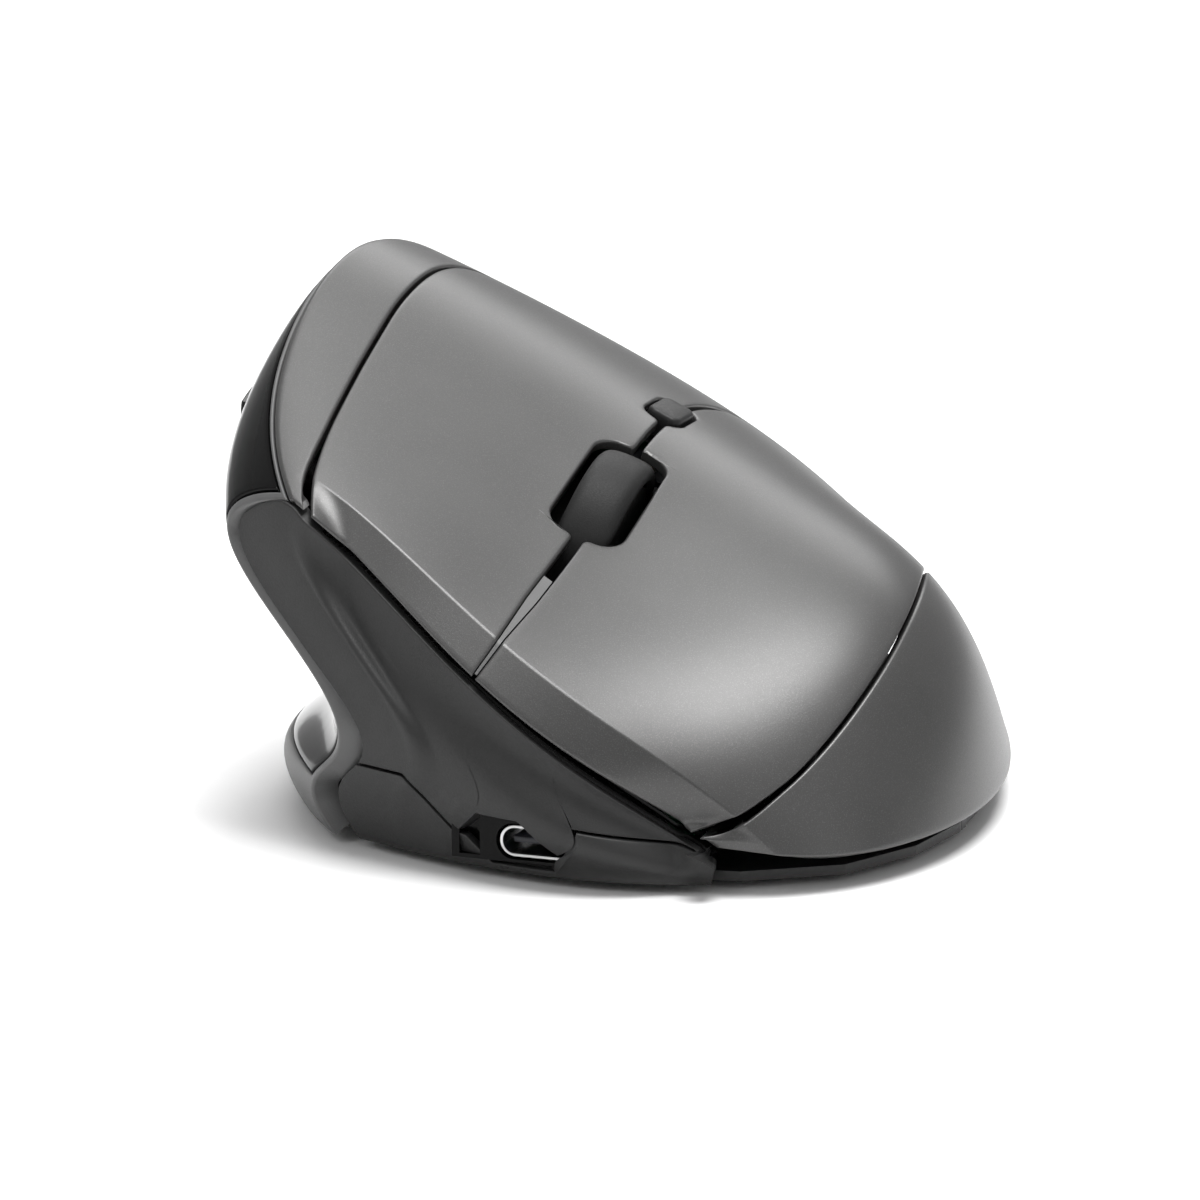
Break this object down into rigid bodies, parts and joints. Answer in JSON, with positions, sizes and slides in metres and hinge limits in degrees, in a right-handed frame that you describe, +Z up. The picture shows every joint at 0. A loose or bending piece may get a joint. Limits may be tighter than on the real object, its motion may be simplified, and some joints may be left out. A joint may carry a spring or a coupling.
{
  "type": "computer mouse",
  "caption": "Left-handed semi-vertical wireless mouse with sloping palm keys, scroll wheel, thumb rest and charge port.",
  "frame": {"origin": "centre of the footprint on the desk, under the skates", "axes": "+Y towards the rear (palm heel), -Y the key and charge-port end, +X the low side of the palm, -X the thumb side, +Z up from the desk"},
  "size_m": [0.0821, 0.113, 0.0568],
  "materials": {
    "satin_shell": "satin metallic paint",
    "matte_base": "fine matte texture",
    "rim": "matte",
    "piano_black": "high gloss",
    "black_plastic": "matte",
    "rubber": "soft touch",
    "steel": "plain",
    "circuit_board": "solder mask",
    "plunger": "plain",
    "component": "moulded",
    "lens": "clear",
    "battery_foil": "foil",
    "skate": "slick",
    "cable": "plain"
  },
  "bodies": {
    "case": {"body_shell": "satin_shell", "palm_cover": "satin_shell", "front_panel": "matte_base", "front_trim": "piano_black", "base_tray": "matte_base", "port_bezel": "piano_black", "thumb_frame": "rim", "thumb_panel": "piano_black", "slit_trim": "rim", "button_board": "circuit_board", "inner_frame": "black_plastic", "upper_key_switch": "component", "lower_key_switch": "component", "wheel_click_switch": "component", "dpi_switch": "component", "thumb_board": "circuit_board", "forward_switch": "component", "back_switch": "component", "main_board": "circuit_board", "controller_chip": "component", "sensor_chip": "component", "sensor_lens": "lens", "power_switch": "component", "pairing_switch": "component", "usb_port_shell": "steel", "usb_port_tongue": "black_plastic", "battery": "battery_foil", "ribbon_cable": "cable", "battery_lead": "cable", "case_screw_1": "steel", "case_screw_2": "steel", "case_screw_3": "steel", "case_screw_4": "steel", "main_board_screw_1": "steel", "main_board_screw_2": "steel", "button_board_screw_1": "steel", "button_board_screw_2": "steel", "thumb_board_screw": "steel", "front_skate": "skate", "rear_skate": "skate", "thumb_skate": "skate"},
    "upper_key": {"upper_key": "satin_shell"},
    "lower_key": {"lower_key": "satin_shell"},
    "upper_key_plunger": {"upper_key_plunger": "plunger"},
    "lower_key_plunger": {"lower_key_plunger": "plunger"},
    "cradle": {"wheel_cradle": "black_plastic", "scroll_encoder": "component"},
    "wheel": {"scroll_tyre": "rubber", "scroll_hub": "black_plastic", "scroll_axle": "steel"},
    "wheel_click_plunger": {"wheel_click_plunger": "plunger"},
    "dpi_button": {"dpi_button": "black_plastic"},
    "dpi_plunger": {"dpi_plunger": "plunger"},
    "forward_button": {"forward_button": "piano_black"},
    "forward_plunger": {"forward_plunger": "plunger"},
    "back_button": {"back_button": "piano_black"},
    "back_plunger": {"back_plunger": "plunger"},
    "power_knob": {"power_knob": "black_plastic"},
    "pairing_button": {"pairing_button": "black_plastic"},
    "pairing_plunger": {"pairing_plunger": "plunger"}
  },
  "joints": [
    {"name": "upper_key_hinge", "type": "hinge", "parent": "case", "child": "upper_key", "pos_m": [-0.01106, 0.00934, 0.04428], "axis": [0.896, 0.001, -0.444], "range_deg": [0, 0.45], "stiffness_Nm_per_rad": 2, "springref_deg": -0.29},
    {"name": "lower_key_hinge", "type": "hinge", "parent": "case", "child": "lower_key", "pos_m": [0.01429, 0.0076, 0.02969], "axis": [0.827, -0.121, -0.549], "range_deg": [0, 0.45], "stiffness_Nm_per_rad": 2, "springref_deg": -0.29},
    {"name": "upper_key_plunger_slide", "type": "slide", "parent": "case", "child": "upper_key_plunger", "axis": [-0.3743, 0.3476, -0.8597], "range_m": [0, 0.00031]},
    {"name": "lower_key_plunger_slide", "type": "slide", "parent": "case", "child": "lower_key_plunger", "axis": [-0.3743, 0.3476, -0.8597], "range_m": [0, 0.00031]},
    {"name": "middle_click", "type": "slide", "parent": "case", "child": "cradle", "axis": [-0.3743, 0.3476, -0.8597], "range_m": [0, 0.0003], "stiffness_N_per_m": 2000, "springref_m": -0.00015},
    {"name": "scroll", "type": "hinge", "parent": "cradle", "child": "wheel", "pos_m": [-0.00255, -0.021, 0.02653], "axis": [0.927, 0.1158, -0.3568], "continuous": true},
    {"name": "wheel_click_plunger_slide", "type": "slide", "parent": "case", "child": "wheel_click_plunger", "axis": [-0.3743, 0.3476, -0.8597], "range_m": [0, 0.0003]},
    {"name": "dpi_press", "type": "slide", "parent": "case", "child": "dpi_button", "axis": [-0.4289, 0.0757, -0.9002], "range_m": [0, 0.00025], "stiffness_N_per_m": 2000, "springref_m": -0.00015},
    {"name": "dpi_plunger_slide", "type": "slide", "parent": "case", "child": "dpi_plunger", "axis": [-0.3743, 0.3476, -0.8597], "range_m": [0, 0.00025]},
    {"name": "forward_press", "type": "slide", "parent": "case", "child": "forward_button", "axis": [0.9974, 0.0137, 0.0709], "range_m": [0, 0.0003], "stiffness_N_per_m": 2000, "springref_m": -0.00015},
    {"name": "forward_plunger_slide", "type": "slide", "parent": "case", "child": "forward_plunger", "axis": [0.9974, 0.0137, 0.0709], "range_m": [0, 0.0003]},
    {"name": "back_press", "type": "slide", "parent": "case", "child": "back_button", "axis": [0.9974, 0.0137, 0.0709], "range_m": [0, 0.0003], "stiffness_N_per_m": 2000, "springref_m": -0.00015},
    {"name": "back_plunger_slide", "type": "slide", "parent": "case", "child": "back_plunger", "axis": [0.9974, 0.0137, 0.0709], "range_m": [0, 0.0003]},
    {"name": "power_slide", "type": "slide", "parent": "case", "child": "power_knob", "axis": [1, 0, 0], "range_m": [0, 0.0025]},
    {"name": "pairing_press", "type": "slide", "parent": "case", "child": "pairing_button", "axis": [0, 0, 1], "range_m": [0, 0.00025], "stiffness_N_per_m": 2000, "springref_m": -0.00015},
    {"name": "pairing_plunger_slide", "type": "slide", "parent": "case", "child": "pairing_plunger", "axis": [0, 0, 1], "range_m": [0, 0.00025]}
  ],
  "couplings": [
    {"joint": "upper_key_plunger_slide", "follows": "upper_key_hinge", "m_per_rad": 0.0382},
    {"joint": "lower_key_plunger_slide", "follows": "lower_key_hinge", "m_per_rad": 0.0382},
    {"joint": "wheel_click_plunger_slide", "follows": "middle_click", "ratio": 1},
    {"joint": "dpi_plunger_slide", "follows": "dpi_press", "ratio": 1},
    {"joint": "forward_plunger_slide", "follows": "forward_press", "ratio": 1},
    {"joint": "back_plunger_slide", "follows": "back_press", "ratio": 1},
    {"joint": "pairing_plunger_slide", "follows": "pairing_press", "ratio": 1}
  ]
}
